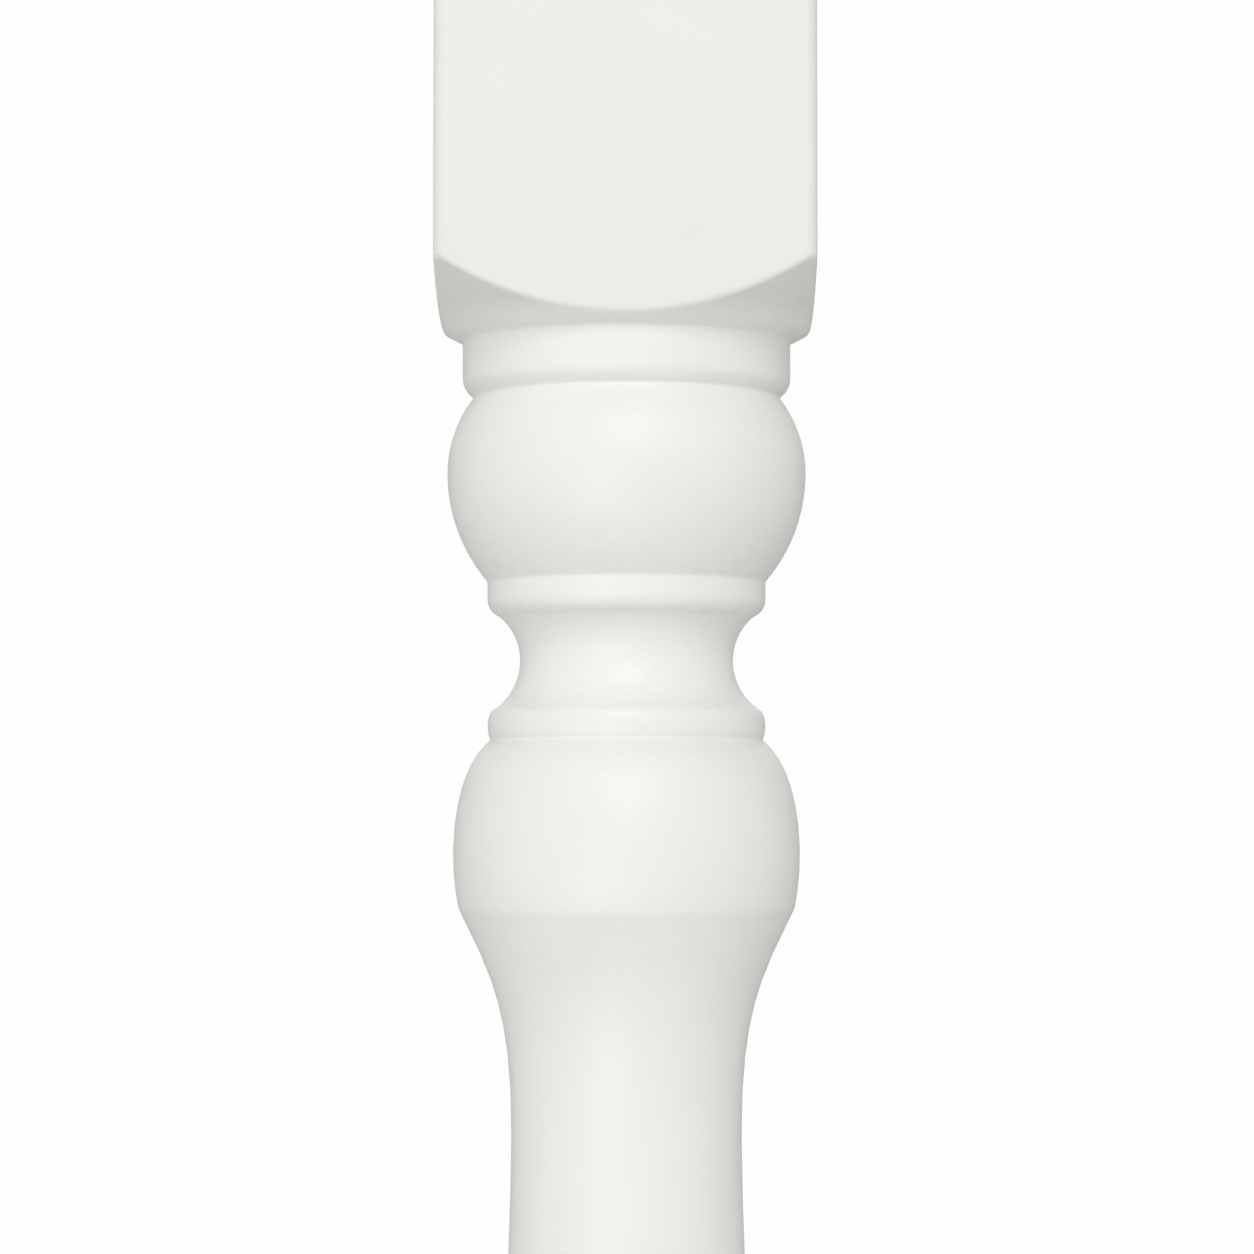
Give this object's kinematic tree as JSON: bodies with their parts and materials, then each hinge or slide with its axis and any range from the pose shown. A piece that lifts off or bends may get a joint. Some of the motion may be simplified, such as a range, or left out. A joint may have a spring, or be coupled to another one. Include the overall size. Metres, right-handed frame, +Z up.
{
  "type": "stair spindle",
  "caption": "Square-section wooden stair spindle, painted off-white: lathe-turned vase, cove and ball between square end blocks, with a long tapering body.",
  "frame": {"origin": "middle of the flat underside of the base block", "axes": "+Z up along the spindle's axis, towards the handrail end; X and Y square to the flat faces of the blocks"},
  "size_m": [0.041, 0.041, 0.9],
  "materials": {
    "white_paint": "smooth off-white primer paint on softwood, low satin sheen"
  },
  "bodies": {
    "root": {"spindle": "white_paint"}
  },
  "joints": []
}
